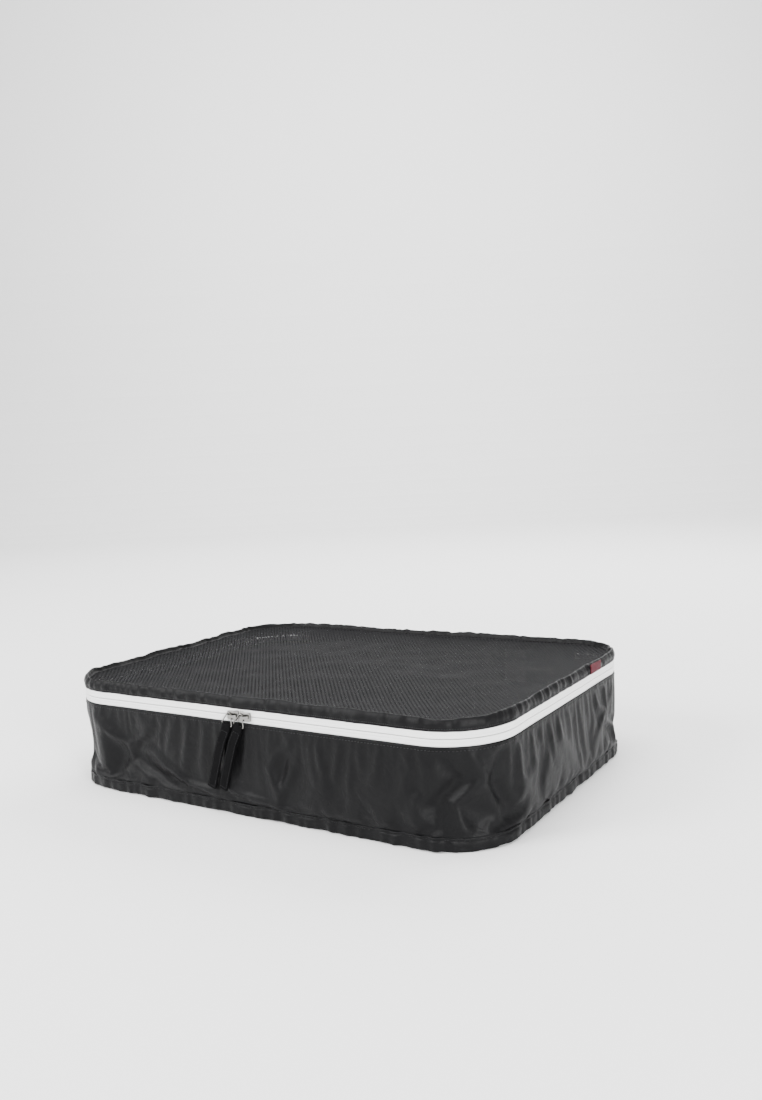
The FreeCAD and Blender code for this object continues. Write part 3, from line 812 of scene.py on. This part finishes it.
def open_knit(name, pitch, lean):
    """Black knit with small six-sided holes that far apart, in rows that lean by that many degrees."""
    paint = fabric(name, dark=(0.012, 0.012, 0.0125), light=(0.018, 0.018, 0.019), thread=0.0005,
                   rough=(0.55, 0.7), depth=0.0001, patch=0.04, gloss=0.02)
    tree = paint.node_tree
    shader = tree.nodes["Principled BSDF"]
    where = tree.nodes["Texture Coordinate"]
    reach = 2 * math.pi / (pitch * math.sin(math.radians(60)))
    waves = []
    for angle in (math.radians(lean), math.radians(lean + 60), math.radians(lean + 120)):
        dot = tree.nodes.new("ShaderNodeVectorMath")
        dot.operation = "DOT_PRODUCT"
        dot.inputs[1].default_value = (reach * math.cos(angle), reach * math.sin(angle), 0)
        tree.links.new(where.outputs["UV"], dot.inputs[0])
        waves.append(math_node(tree, "COSINE", dot.outputs["Value"]))
    total = math_node(tree, "ADD", math_node(tree, "ADD", waves[0], waves[1]), waves[2])
    solid = tree.nodes.new("ShaderNodeMapRange")
    solid.inputs["From Min"].default_value, solid.inputs["From Max"].default_value = 1.1, 0.85
    solid.inputs["To Min"].default_value = 0.05
    tree.links.new(total, solid.inputs["Value"])
    tree.links.new(solid.outputs[0], shader.inputs["Alpha"])
    return paint


# The mesh is an open black knit. It hangs a little below the rim, held out all round.
knit = open_knit("black_mesh", pitch=3.7 * MM, lean=38.5)
EDGE_OUT, EDGE_Z, SAG, NET_STEP = -4.4 * MM, 96.2 * MM, 6.2 * MM, 3.2 * MM
mesh_half_x, mesh_half_y, mesh_radius = half_x + EDGE_OUT, half_y + EDGE_OUT, corner_radius + EDGE_OUT
net = rounded_sheet(mesh_half_x, mesh_half_y, mesh_radius, NET_STEP)
for v in net.verts:
    inside = from_edge(v.co, mesh_half_x, mesh_half_y, mesh_radius)
    free = 1 - math.exp(-inside / (16 * MM))
    out, up = rim_wave(v.co, EDGE_Z)
    near = math.exp(-inside / (12 * MM))
    if inside < 40 * MM:
        v.co += outward(v.co) * out * near
    billow = 1.6 * MM * free * ripple(v.co, 85 * MM, 71) + 0.7 * MM * free * ripple(v.co, 30 * MM, 72)
    v.co.z = EDGE_Z + up * near - SAG * free + billow
net_cloth = as_piece(net, "lid_net", "lid", "mesh", "lid_mesh", paint=knit)
give_thickness(net_cloth, 0.9 * MM, -1)

net_binding_profile = [(u * MM, z * MM) for u, z in (
    (-3.4, 94.6), (-4.2, 95.3), (-5.6, 95.0), (-6.6, 93.6), (-7.4, 91.8), (-6.9, 91.0), (-6.1, 91.2),
    (-5.0, 92.8), (-3.9, 93.8), (-3.4, 94.6))]
net_binding = band(net_binding_profile, BINDING_STEP, closed=True)
for v in net_binding.verts:
    out, up = rim_wave(v.co, EDGE_Z)
    v.co += outward(v.co) * (out + 0.4 * MM * ripple(v.co, 13 * MM, 74)) + Vector((0, 0, up - 0.5 * MM))
as_piece(net_binding, "net_binding", "lid", "binding", "lid_mesh_binding", paint=binding_tape)

# A small plain tab of maroon ribbon is caught in the lid's seam on the right end.
ribbon_red = fabric("maroon_ribbon", dark=(0.05, 0.003, 0.008), light=(0.075, 0.005, 0.012), thread=0.0005,
                    rough=(0.55, 0.68), depth=0.00008, patch=0.02, coordinates="Object", gloss=0.15)
tab_low, tab_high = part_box("seam_tab")
tab = bmesh.new()
bmesh.ops.create_grid(tab, x_segments=10, y_segments=6, size=0.5)
for v in tab.verts:
    along, up = v.co.x, v.co.y + 0.5
    v.co = Vector((tab_low.x + 0.4 * MM + 0.5 * MM * up + 0.4 * MM * math.sin(4 * along) * up,
                   (tab_low.y + tab_high.y) / 2 + along * (tab_high.y - tab_low.y),
                   tab_low.z - 0.2 * MM + up * (tab_high.z - tab_low.z)))
red_tab = as_piece(tab, "maroon_tab", "lid", "tab", "seam_tab", paint=ribbon_red)
give_thickness(red_tab, 0.7 * MM, 0)
round_edges(red_tab, 0.2 * MM)

# ---- Topstitching -------------------------------------------------------------------------------
# Rows of short black stitches run along the welt, under the zipper and above it. The thread is polyester,
# and each stitch is pulled half into the cloth.
thread_black = fabric("black_thread", dark=(0.007, 0.007, 0.0075), light=(0.011, 0.011, 0.012), thread=0.0002,
                      rough=(0.35, 0.5), depth=0.00002, patch=0.01, coordinates="Object", gloss=0.2)
stitch_shape = bmesh.new()
bmesh.ops.create_uvsphere(stitch_shape, u_segments=6, v_segments=4, radius=1.0)
one_stitch = as_pattern(stitch_shape)


def stitch(bm, start, end, thick, out):
    """One stitch lying from start to end, sunk half into the cloth."""
    verts = copy_of(one_stitch, bm)
    run = end - start
    size = Matrix.Diagonal((thick, thick, run.length / 2, 1))
    turn = run.to_track_quat("Z", "X").to_matrix().to_4x4()
    turn.translation = (start + end) / 2 + out
    bmesh.ops.transform(bm, matrix=turn @ size, verts=verts)


STITCH_THICK, STITCH_PROUD = 0.24 * MM, 0.1 * MM


def stitch_row(name, cloth, row, body, node, skip=1):
    """A stitch along each of the cloth's edges in that row, or along every second one with a skip of 2."""
    bm = bmesh.new()
    rows = cloth.data.attributes["row"].data
    points = cloth.data.vertices
    for edge in cloth.data.edges:
        a, b = edge.vertices
        if rows[a].value != row or rows[b].value != row:
            continue
        start, end = points[a].co, points[b].co
        middle = (start + end) / 2
        if skip > 1 and int(path_length(middle) / (end - start).length) % skip:
            continue
        stitch(bm, start.lerp(end, 0.14), start.lerp(end, 0.86), STITCH_THICK, outward(middle) * STITCH_PROUD)
    as_piece(bm, name, body, "thread", node, paint=thread_black)


stitch_row("welt_stitches", hem_cloth, HEM_STITCHED, "shell", "hem_topstitch", skip=2)
stitch_row("wall_stitches", gusset, STITCHED_ROW, "shell", "gusset_topstitch")
stitch_row("rim_stitches", rim_cloth, RIM_STITCHED, "lid", "lid_topstitch")

# ---- Sliders and rings --------------------------------------------------------------------------
# Die-cast zinc sliders run on the two coils, and each carries a bent wire ring. All are nickel plated, with
# fine wear, and keep the shapes that they have in the CAD model.
nickel = bpy.data.materials.new("nickel_plate")
nickel.use_nodes = True
nickel.node_tree.nodes["Principled BSDF"].inputs["Metallic"].default_value = 1.0
where = nickel.node_tree.nodes.new("ShaderNodeTexCoord")
wear_in(nickel.node_tree, where.outputs["Object"], dark=(0.15, 0.147, 0.141), light=(0.27, 0.265, 0.253),
        size=0.015, rough=(0.1, 0.24))
for name in ("slider_left", "slider_right", "pull_ring_left", "pull_ring_right"):
    metal = frame["nodes"][name]
    metal.data.materials.clear()
    metal.data.materials.append(nickel)

# ---- Strap pulls --------------------------------------------------------------------------------
# A length of black grosgrain ribbon is passed round the ring's bar, folded double and stitched down
# both edges and across. It hangs just clear of the cloth, and leans a little to the left.
grosgrain = fabric("black_grosgrain", dark=(0.002, 0.002, 0.0022), light=(0.0038, 0.0038, 0.0041),
                   thread=0.0007, rough=(0.6, 0.75), depth=0.00015, patch=0.02, gloss=0.03)
LEAN = math.radians(18.5)
STRAP_WIDE, LAYER, PLY_GAP, STRAP_CLEAR = 8.6 * MM, 0.75 * MM, 0.42 * MM, 1.5 * MM
BAR_REACH, NECK = 0.95 * MM, -4.5 * MM
SEAM_IN, SEAM_TOP, SEAM_FOOT, STITCH_STEP = 1.0 * MM, -6 * MM, 2.2 * MM, 2.3 * MM
belly_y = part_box("gusset_wall")[0].y


def joint_place(name):
    """Where a joint turns, at rest."""
    return Vector(next(joint for joint in frame["joints"] if joint["name"] == name)["pos_m"])


def along_line(line, runs, distance):
    """The point of line that far along it. runs holds the distance along to each of its points."""
    for k in range(len(runs) - 1):
        if distance <= runs[k + 1] or k == len(runs) - 2:
            share = (distance - runs[k]) / (runs[k + 1] - runs[k])
            (y0, z0), (y1, z1) = line[k], line[k + 1]
            return y0 + share * (y1 - y0), z0 + share * (z1 - z0)


def front_of_strap(line, z):
    """How far forward line is where it first comes up to the height z."""
    for (y0, z0), (y1, z1) in zip(line, line[1:]):
        if z0 <= z <= z1:
            return y0 + (y1 - y0) * (z - z0) / (z1 - z0)
    return line[0][0]


def across_bow(x):
    """The ribbon is a little hollow across, so its edges stand back by this much."""
    return 0.2 * MM * (2 * x / STRAP_WIDE) ** 2


for which in ("left", "right"):
    bar = joint_place(f"pull_{which}_lift")
    hang_y = belly_y - STRAP_CLEAR
    length = (bar.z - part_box(f"pull_strap_{which}")[0].z - 0.6 * MM) / math.cos(LEAN)
    turn_round = [math.radians(-50 + 28 * k) for k in range(11)]
    over_bar = [(bar.y - BAR_REACH * math.cos(a), BAR_REACH * math.sin(a)) for a in turn_round]
    drop = [(hang_y, -15 * MM), (hang_y - 0.3 * MM, -28 * MM), (hang_y - 0.2 * MM, -42 * MM),
            (hang_y + 0.1 * MM, -length)]
    line = [(y - PLY_GAP, z) for y, z in reversed(drop)] + [(bar.y - 0.75 * MM, NECK)] + over_bar
    line += [(bar.y + 0.3 * MM, NECK)] + [(y + PLY_GAP, z) for y, z in drop]
    runs = [0.0]
    for (y0, z0), (y1, z1) in zip(line, line[1:]):
        runs.append(runs[-1] + math.hypot(y1 - y0, z1 - z0))

    strap = bmesh.new()
    bmesh.ops.create_grid(strap, x_segments=8, y_segments=110, size=0.5)
    flat = strap.loops.layers.uv.verify()
    for face in strap.faces:
        for corner in face.loops:
            corner[flat].uv = (corner.vert.co.x * STRAP_WIDE, (corner.vert.co.y + 0.5) * runs[-1])
    for v in strap.verts:
        x = v.co.x * STRAP_WIDE
        y, z = along_line(line, runs, (v.co.y + 0.5) * runs[-1])
        taper = 1.0 - 0.035 * math.exp(-(z / (6 * MM)) ** 2)
        v.co = Vector((bar.x + x * taper, y + across_bow(x), bar.z + z))
    lean = Matrix.Translation(bar) @ Matrix.Rotation(LEAN, 4, "Y") @ Matrix.Translation(-bar)
    bmesh.ops.transform(strap, matrix=lean, verts=strap.verts)
    node = f"pull_strap_{which}"
    piece = as_piece(strap, f"strap_{which}", node, "pull_tape", node, paint=grosgrain)
    give_thickness(piece, LAYER, 0)
    round_edges(piece, 0.18 * MM)

    seam = bmesh.new()
    edge_x, foot_z = STRAP_WIDE / 2 - SEAM_IN, SEAM_FOOT - length
    seam_line = [(-edge_x, SEAM_TOP), (-edge_x, foot_z), (edge_x, foot_z), (edge_x, SEAM_TOP),
                 (-edge_x, SEAM_TOP)]
    for (x0, z0), (x1, z1) in zip(seam_line, seam_line[1:]):
        count = round(math.hypot(x1 - x0, z1 - z0) / STITCH_STEP)
        for k in range(count):
            ends = []
            for share in ((k + 0.15) / count, (k + 0.85) / count):
                x, z = x0 + (x1 - x0) * share, z0 + (z1 - z0) * share
                face_y = front_of_strap(line, z) - LAYER / 2 + across_bow(x)
                ends.append(Vector((bar.x + x, face_y, bar.z + z)))
            stitch(seam, ends[0], ends[1], 0.2 * MM, Vector((0, -0.05 * MM, 0)))
    bmesh.ops.transform(seam, matrix=lean, verts=seam.verts)
    as_piece(seam, f"strap_{which}_stitches", node, "thread", paint=thread_black)

bpy.data.meshes.remove(one_stitch)

# ---- Handle -------------------------------------------------------------------------------------
# A loop of grey ribbed webbing on the left end. Its ends lie flat in the zipper's seam, and each leg
# takes a quarter turn, so the grip stands on edge.
webbing = fabric("grey_webbing", dark=(0.03, 0.032, 0.034), light=(0.055, 0.058, 0.062), thread=0.0012,
                 rough=(0.62, 0.78), depth=0.0003, patch=0.03, sheen=0.1, gloss=0.2)
root = joint_place("handle_flip")
DROOP = math.radians(50.0)
LEG_APART, LEG_LONG, REACH, ROOT_IN = 45 * MM, 30 * MM, 58 * MM, 0.6 * MM
WEB_WIDE, WEB_THICK, WEB_RIB, RIBS = 25 * MM, 1.4 * MM, 0.16 * MM, 8
LEG_STEPS, GRIP_STEPS = 12, 24
out_way = Vector((-math.cos(DROOP), 0, -math.sin(DROOP)))
face_way = Vector((-math.sin(DROOP), 0, math.cos(DROOP)))
along_seam = Vector((0, 1, 0))


def leg_stations(side):
    """Places down one leg from the seam, each as (middle of the webbing, how far it has turned, side)."""
    made = []
    for k in range(LEG_STEPS + 1):
        share = k / LEG_STEPS
        turn = share * share * (3 - 2 * share) * math.pi / 2
        out = share * LEG_LONG - ROOT_IN * (1 - share)
        made.append((root + along_seam * LEG_APART * side + out_way * out, turn, side))
    return made


stations = leg_stations(1)
for k in range(1, GRIP_STEPS):
    a = math.pi * k / GRIP_STEPS
    out = LEG_LONG + (REACH - LEG_LONG) * math.sin(a)
    stations.append((root + along_seam * LEG_APART * math.cos(a) + out_way * out, math.pi / 2, 0))
stations += reversed(leg_stations(-1))
loop = bmesh.new()
bmesh.ops.create_grid(loop, x_segments=4 * RIBS, y_segments=len(stations) - 1, size=0.5)
flat = loop.loops.layers.uv.verify()
web_length = sum((b[0] - a[0]).length for a, b in zip(stations, stations[1:]))
for face in loop.faces:
    for corner in face.loops:
        corner[flat].uv = (corner.vert.co.x * WEB_WIDE, (corner.vert.co.y + 0.5) * web_length)
for v in loop.verts:
    across, k = v.co.x, round((v.co.y + 0.5) * (len(stations) - 1))
    middle, turn, side = stations[k]
    wide = face_way * math.sin(turn) + along_seam * math.cos(turn) * side
    rib = WEB_RIB * math.cos(2 * math.pi * across * RIBS)
    along = stations[min(k + 1, len(stations) - 1)][0] - stations[max(k - 1, 0)][0]
    v.co = middle + wide * across * WEB_WIDE + wide.cross(along.normalized()) * rib
handle = as_piece(loop, "handle_loop", "handle", "webbing", "handle_webbing", paint=webbing)
give_thickness(handle, WEB_THICK, 0, levels=1)
round_edges(handle, 0.35 * MM)

# ---- Studio -------------------------------------------------------------------------------------
# A plain pale floor that sweeps up behind into a backdrop, soft light from the front left, and the camera.
YAW, PITCH, ROLL = 0.563, 0.0934, -0.0488
FLOOR_HALF, SWEEP, BACKDROP = 3.0, 1.5, 4.0
floor_bm = bmesh.new()
bmesh.ops.create_grid(floor_bm, x_segments=1, y_segments=1, size=FLOOR_HALF)
bmesh.ops.scale(floor_bm, vec=(2.2, 1.0, 1.0), verts=floor_bm.verts)
rear = [e for e in floor_bm.edges if all(v.co.y > 0 for v in e.verts)]
bent = bmesh.ops.spin(floor_bm, geom=rear + list(rear[0].verts), cent=(0, FLOOR_HALF, SWEEP), axis=(1, 0, 0),
                      angle=math.pi / 2, steps=16)["geom_last"]
up = bmesh.ops.extrude_edge_only(floor_bm, edges=[g for g in bent if isinstance(g, bmesh.types.BMEdge)])["geom"]
bmesh.ops.translate(floor_bm, vec=(0, 0, BACKDROP), verts=[g for g in up if isinstance(g, bmesh.types.BMVert)])
bmesh.ops.rotate(floor_bm, verts=floor_bm.verts, cent=(0, 0, 0), matrix=Matrix.Rotation(YAW, 3, "Z"))
bmesh.ops.recalc_face_normals(floor_bm, faces=floor_bm.faces)
floor_mesh = bpy.data.meshes.new("studio_floor")
floor_bm.to_mesh(floor_mesh)
floor_bm.free()
studio_floor = bpy.data.objects.new("studio_floor", floor_mesh)
bpy.context.collection.objects.link(studio_floor)
floor_paint = bpy.data.materials.new("pale_floor")
floor_paint.use_nodes = True
floor_shader = floor_paint.node_tree.nodes["Principled BSDF"]
floor_shader.inputs["Base Color"].default_value = (0.86, 0.86, 0.86, 1)
floor_shader.inputs["Roughness"].default_value = 0.8
floor_mesh.materials.append(floor_paint)

world = bpy.data.worlds.new("studio")
bpy.context.scene.world = world
world.use_nodes = True
world.node_tree.nodes["Background"].inputs["Color"].default_value = (1.0, 1.0, 1.0, 1)
world.node_tree.nodes["Background"].inputs["Strength"].default_value = 0.85


def softbox(name, place, aim, width, height, power):
    """A rectangular area lamp that points from place to aim."""
    lamp = bpy.data.lights.new(name, "AREA")
    lamp.shape, lamp.size, lamp.size_y, lamp.energy = "RECTANGLE", width, height, power
    stand = bpy.data.objects.new(name, lamp)
    stand.location = place
    stand.rotation_euler = (Vector(aim) - Vector(place)).to_track_quat("-Z", "Y").to_euler()
    bpy.context.collection.objects.link(stand)


softbox("key_light", (-1.35, -1.8, 1.45), (0, 0, 0.05), 0.9, 0.9, 95)
softbox("fill_light", (1.9, -1.25, 0.7), (0.15, -0.05, 0.05), 0.5, 0.8, 75)
softbox("top_light", (-0.2, -0.2, 2.2), (0, 0, 0.05), 1.6, 1.6, 60)
softbox("back_light", (0.3, 1.6, 1.5), (0, 0, 0.05), 1.8, 0.9, 45)
softbox("backdrop_light", (-0.6, 1.6, 2.6), (-1.9, 3.6, 1.2), 3.0, 1.0, 170)

CAMERA_PLACE = Vector((524.95, -766.06, 290.04)) * MM
ahead = Vector((-math.sin(YAW) * math.cos(PITCH), math.cos(YAW) * math.cos(PITCH), -math.sin(PITCH)))
level = Vector((math.cos(YAW), math.sin(YAW), 0))
above = level.cross(ahead)
right = math.cos(ROLL) * level + math.sin(ROLL) * above
top = -math.sin(ROLL) * level + math.cos(ROLL) * above
lens = bpy.data.cameras.new("camera")
lens.sensor_width, lens.lens = 36.0, 32.27695
lens.clip_start, lens.clip_end = 0.02, 50.0
camera = bpy.data.objects.new("camera", lens)
camera.matrix_world = Matrix.Translation(CAMERA_PLACE) @ Matrix((right, top, -ahead)).transposed().to_4x4()
bpy.context.collection.objects.link(camera)
bpy.context.scene.camera = camera
